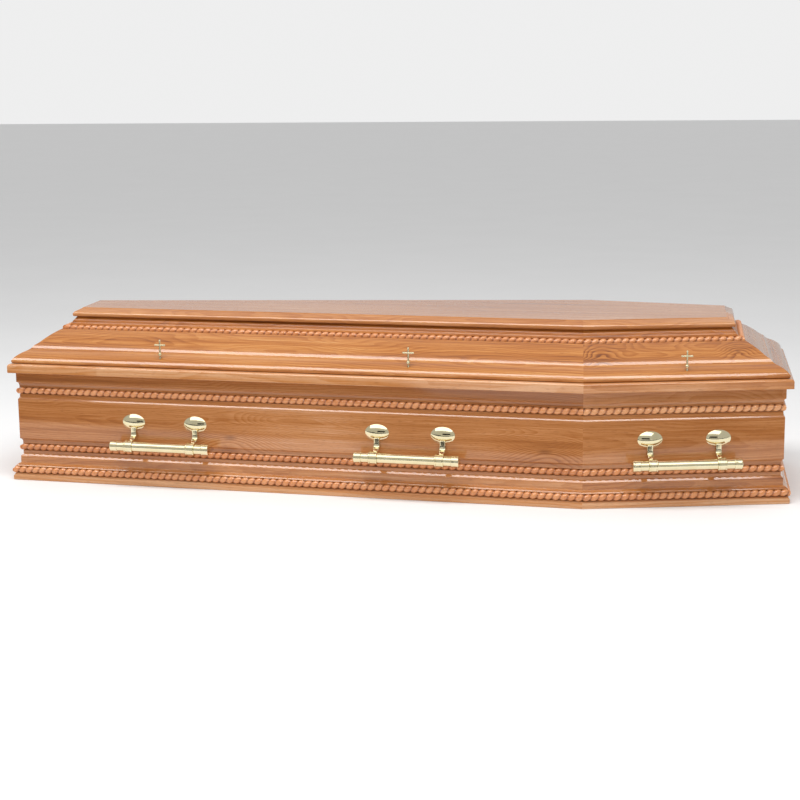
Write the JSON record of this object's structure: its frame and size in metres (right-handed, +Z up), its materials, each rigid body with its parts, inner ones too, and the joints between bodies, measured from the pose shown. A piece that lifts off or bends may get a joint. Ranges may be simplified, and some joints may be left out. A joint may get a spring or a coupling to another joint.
{
  "type": "wooden coffin",
  "caption": "Six-sided shouldered wooden coffin with moulded skirting, rope mouldings, a raised lift-off lid, bar handles and cross-headed lid screws.",
  "frame": {"origin": "under the middle of the box, on the plane that it stands on", "axes": "+X along the length towards the head end, +Y towards the back side, +Z up"},
  "size_m": [2.0508, 0.7282, 0.4497],
  "materials": {
    "lacquered_wood": "high-gloss clear lacquer over honey-brown oak",
    "rope_wood": "high-gloss clear lacquer over reddish carved rope moulding",
    "plain_wood": "plain unlacquered board",
    "gilt_metal": "polished pale gold plating"
  },
  "bodies": {
    "root": {"bar_back_foot": "gilt_metal", "bar_back_head": "gilt_metal", "bar_back_middle": "gilt_metal", "bar_front_foot": "gilt_metal", "bar_front_head": "gilt_metal", "bar_front_middle": "gilt_metal", "board_back_long": "lacquered_wood", "board_back_short": "lacquered_wood", "board_foot": "lacquered_wood", "board_front_long": "lacquered_wood", "board_front_short": "lacquered_wood", "board_head": "lacquered_wood", "bottom_board": "plain_wood", "bracket_back_foot_1": "gilt_metal", "bracket_back_foot_2": "gilt_metal", "bracket_back_head_1": "gilt_metal", "bracket_back_head_2": "gilt_metal", "bracket_back_middle_1": "gilt_metal", "bracket_back_middle_2": "gilt_metal", "bracket_front_foot_1": "gilt_metal", "bracket_front_foot_2": "gilt_metal", "bracket_front_head_1": "gilt_metal", "bracket_front_head_2": "gilt_metal", "bracket_front_middle_1": "gilt_metal", "bracket_front_middle_2": "gilt_metal", "crown_back_long": "lacquered_wood", "crown_back_short": "lacquered_wood", "crown_foot": "lacquered_wood", "crown_front_long": "lacquered_wood", "crown_front_short": "lacquered_wood", "crown_head": "lacquered_wood", "rim_back_long": "lacquered_wood", "rim_back_short": "lacquered_wood", "rim_foot": "lacquered_wood", "rim_front_long": "lacquered_wood", "rim_front_short": "lacquered_wood", "rim_head": "lacquered_wood", "rope_base": "rope_wood", "rope_lid": "rope_wood", "rope_lower": "rope_wood", "rope_upper": "rope_wood", "screw_back_foot": "gilt_metal", "screw_back_head": "gilt_metal", "screw_back_middle": "gilt_metal", "screw_front_foot": "gilt_metal", "screw_front_head": "gilt_metal", "screw_front_middle": "gilt_metal", "skirting_back_long": "lacquered_wood", "skirting_back_short": "lacquered_wood", "skirting_foot": "lacquered_wood", "skirting_front_long": "lacquered_wood", "skirting_front_short": "lacquered_wood", "skirting_head": "lacquered_wood", "slope_back_long": "lacquered_wood", "slope_back_short": "lacquered_wood", "slope_foot": "lacquered_wood", "slope_front_long": "lacquered_wood", "slope_front_short": "lacquered_wood", "slope_head": "lacquered_wood", "top_board": "lacquered_wood"}
  },
  "joints": []
}
